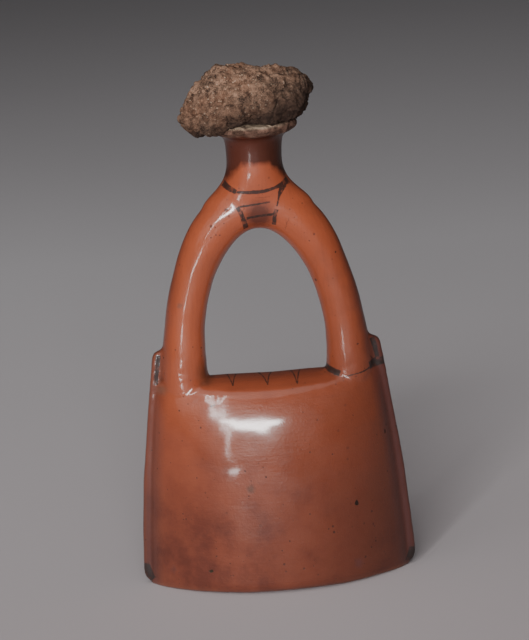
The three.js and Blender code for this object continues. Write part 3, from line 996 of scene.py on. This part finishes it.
# %% Flask in place
def finish_piece(piece, node, material):
    bm = bmesh.new()
    bm.from_mesh(piece.data)
    bmesh.ops.scale(bm, vec=(0.001, 0.001, 0.001), verts=bm.verts)
    bm.to_mesh(piece.data)
    bm.free()
    piece.data.shade_smooth()
    piece.data.materials.clear()
    piece.data.materials.append(material)
    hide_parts(node)
    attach(piece, "root")
    piece.data.calc_loop_triangles()
    print(piece.name, "stands for", node, "-", len(piece.data.loop_triangles), "triangles")


finish_piece(flask, "flask", pottery)

# %% [markdown]
# ## The mud stopper
#
# The mouth was closed with a handful of wet mud, pressed over the lip and left to dry. It hangs
# down on the left, leans to the right and is full of grains, pits and small cracks. The lump is
# again a sphere moved to rings, joined with its plug by a remesh. Its crust is displaced vertex by
# vertex, coarse lumps first and then crumbs, and last the lip is cut out of it. Blender's vector
# noise starts from the clock, so three plain noises stand in for it, the same every time.

# %% Lump and plug
STOPPER_LENGTH, STOPPER_DEPTH, STOPPER_HEIGHT, STOPPER_OVERHANG = 49, 39, 24.6, 4.9
PLUG_DEPTH, FIT_GAP = 13, 0.35
CRUST_VOXEL, PRESS_ROUNDS = 0.42, 12
# The height of each ring, its left and right ends and its depth, as shares of the lump's sizes.
LUMP_ROWS = [
    (0, -0.42, -0.2, 0.35),
    (0.08, -0.47, 0.06, 0.6),
    (0.17, -0.5, 0.28, 0.8),
    (0.27, -0.52, 0.36, 0.93),
    (0.4, -0.52, 0.43, 1),
    (0.55, -0.49, 0.48, 0.99),
    (0.68, -0.45, 0.47, 0.93),
    (0.8, -0.39, 0.44, 0.84),
    (0.89, -0.34, 0.39, 0.7),
    (0.95, -0.3, 0.3, 0.52),
    (1, -0.26, -0.02, 0.25),
]


def lump_rings():
    base = LIP_TOP - STOPPER_OVERHANG
    rings = []
    for height, left, right, depth in LUMP_ROWS:
        middle = STOPPER_LENGTH * (left + right) / 2
        half_x = STOPPER_LENGTH * (right - left) / 2
        z = base + STOPPER_HEIGHT * height
        rings.append(level_ring(middle, z, half_x, STOPPER_DEPTH * depth / 2, 2.4))
    first, last = rings[0], rings[-1]
    poles = [lambda turn, ring=ring: (ring(0) + ring(pi)) / 2 for ring in (first, last)]
    return [poles[0]] + rings + [poles[1]]


mud = bmesh.new()
turned(
    mud,
    [
        (0, LIP_TOP - PLUG_DEPTH),
        (MOUTH_RADIUS - FIT_GAP - 1.2, LIP_TOP - PLUG_DEPTH),
        (MOUTH_RADIUS - FIT_GAP, LIP_TOP - PLUG_DEPTH + 2),
        (MOUTH_RADIUS - FIT_GAP, LIP_TOP + 4),
        (0, LIP_TOP + 4),
    ],
)
round_body(mud, 96, lump_rings())
bmesh.ops.recalc_face_normals(mud, faces=mud.faces)
stopper = as_object(mud, "stopper_mud")
one_skin(stopper, CRUST_VOXEL)
press = stopper.modifiers.new("press", "SMOOTH")
press.iterations = PRESS_ROUNDS
apply_modifiers(stopper)
print("lump:", len(stopper.data.polygons), "faces")

# %% Crust
def crooked(place):
    """Shifts a place by three noises, so that cracks and pits have crooked edges."""
    starts = [Vector((9, 0, 4)), Vector((2, 7, 1)), Vector((5, 3, 8))]
    return place + 1.6 * Vector([noise.noise(place / 3 + start) for start in starts])


def crust(place):
    """How far the dried crust stands out at a place, in millimetres."""
    lumps = noise.noise(place / 9 + Vector((5, 1, 2))) * 2.6
    knobs = noise.noise(place / 4.6 + Vector((2, 9, 4))) * 1.4
    crumbs = noise.fractal(place / 1.7, 0.8, 2.2, 4) * 0.42
    bent = crooked(place)
    near = noise.voronoi(bent / 6.5)[0]
    cracks = -0.8 * (1 - ease(near[1] - near[0], 0, 0.12))
    hole = -1.1 * (1 - ease(noise.voronoi(bent / 4.3 + Vector((8, 3, 3)))[0][0], 0.05, 0.3))
    from_axis = Vector((place.x - NECK_OFFSET, place.y)).length
    plug = 1 - ease(from_axis, MOUTH_RADIUS, MOUTH_RADIUS + 1)
    plug *= 1 - ease(place.z, LIP_TOP, LIP_TOP + 1)
    return (lumps + knobs + crumbs + cracks + hole - 0.6) * (1 - plug)


push(stopper, crust)
lip = bmesh.new()
round_body(lip, 96, neck_rings(FIT_GAP))
bmesh.ops.recalc_face_normals(lip, faces=lip.faces)
take_away(stopper, as_object(lip, "lip"))
print("stopper:", len(stopper.data.polygons), "faces")

# %% [markdown]
# ## Dried mud
#
# River mud dries to a pale pinkish brown full of sand and chaff. The colour follows the grain, the
# dark specks are coarse sand and the pale ones chaff. The right side and the underside are darker,
# which is painted shade. It has no shine at all.

# %% Mud
MUD_DARK, MUD_PALE, MUD_WARM = (0.016, 0.009, 0.007, 1), (0.33, 0.195, 0.13, 1), (0.2, 0.095, 0.055, 1)
CHAFF, COARSE_SAND, MUD_PAINTED_SHADE = (0.5, 0.38, 0.28, 1), (0.025, 0.016, 0.012, 1), (0.022, 0.013, 0.01, 1)
mud_finish, tree, where = new_material("dried_mud")
silt = use_group(tree, grain, {"Position": where, "Coarse": 420.0, "Fine": 2400.0})
tone = blend(tree, silt["Share"], MUD_DARK, MUD_PALE)
warm = spread(tree, clouds(tree, where, 120, 3), 0.4, 0.65, 0, 0.45)
tone = blend(tree, warm, tone, MUD_WARM)
pale = use_group(tree, specks, {"Position": where, "Per metre": 1100.0, "Size": 0.34, "Amount": 0.35})
tone = blend(tree, times(tree, pale["Mask"], 0.6), tone, CHAFF)
dark = use_group(tree, specks, {"Position": where, "Per metre": 520.0, "Size": 0.2, "Amount": 0.3})
tone = blend(tree, times(tree, dark["Mask"], 0.75), tone, COARSE_SAND)
x, _, z = split(tree, where)
# Painted shade: the mud darkens on the right and lower down.
mud_painted_shade = minus(tree, x, times(tree, z, 2.5))
mud_painted_shade = plus(tree, mud_painted_shade, times(tree, clouds(tree, where, 90, 3), 0.02))
tone = blend(tree, spread(tree, mud_painted_shade, -0.467, -0.43, 0, 0.88), tone, MUD_PAINTED_SHADE)
relief = minus(tree, silt["Height"], times(tree, dark["Mask"], 0.4))
bump = add(tree, "ShaderNodeBump", {"Strength": 1, "Distance": 0.0009, "Height": relief})
mud_looks = {"Base Color": tone, "Roughness": 0.95, "Specular IOR Level": 0.2, "Normal": bump.outputs[0]}
principled(tree, mud_looks)
finish_piece(stopper, "mud_stopper", mud_finish)
print("dried mud:", len(tree.nodes), "nodes")

# %% [markdown]
# ## Floor and light
#
# The flask stands on a plain pale floor that fills the camera's view and grows lighter away from
# it. Burnished clay shows the shape of each light, so each is an oval with a place and shape of its
# own. A long flat box beside the camera gives the broad shine on the belly, a tall narrow strip on
# the left draws the streaks on the arch and the neck, and a small lamp near the floor gives the
# spot under the shine. Weak boxes on the left and above, and an even gray world, fill the shadows.

# %% Floor
FLOOR_REACH = 3
FLOOR_NEAR, FLOOR_FAR = (0.345, 0.3, 0.306, 1), (0.66, 0.63, 0.645, 1)
ground = bmesh.new()
bmesh.ops.create_grid(ground, x_segments=8, y_segments=8, size=FLOOR_REACH)
floor = as_object(ground, "floor")
paper, tree, where = new_material("paper_floor")
# Painted light: the floor's colour grows lighter away from the camera, which lifts the far floor against
# the lamps' falloff.
depth = plus(tree, split(tree, where)[1], times(tree, clouds(tree, where, 3, 2), 0.1))
tone = blend(tree, spread(tree, depth, -0.1, 0.6), FLOOR_NEAR, FLOOR_FAR)
principled(tree, {"Base Color": tone, "Roughness": 0.8})
floor.data.materials.append(paper)
print("floor:", 2 * FLOOR_REACH, "m square")

# %% Lights
MIDDLE = Vector((0, 0, 0.09))


def soft_box(name, azimuth, elevation, distance, size, power):
    """An oval soft light. Azimuth 0 is the camera's side, and a negative one is on the left."""
    shape = bpy.data.lights.new(name, "AREA")
    shape.shape = "ELLIPSE"
    shape.size, shape.size_y = size
    shape.energy = power
    turn, tilt = radians(azimuth), radians(elevation)
    away = Vector((sin(turn) * cos(tilt), -cos(turn) * cos(tilt), sin(tilt)))
    stand(bpy.data.objects.new(name, shape), MIDDLE + distance * away, MIDDLE)


soft_box("key", -8.5, 16, 1.25, (0.72, 0.12), 15)
soft_box("strip", -25, 31, 1.25, (0.035, 1.4), 4.8)
soft_box("low", -23, -8, 0.55, (0.08, 0.04), 0.17)
soft_box("left", -48, 28, 1.2, (0.6, 0.9), 0.9)
soft_box("top", -25, 70, 1.3, (1.4, 1.4), 6)
world = bpy.data.worlds.new("studio")
world.use_nodes = True
sky = world.node_tree.nodes["Background"].inputs
sky["Color"].default_value = (0.32, 0.31, 0.32, 1)
sky["Strength"].default_value = 0.11
bpy.context.scene.world = world
print("lights:", len(bpy.data.lights))
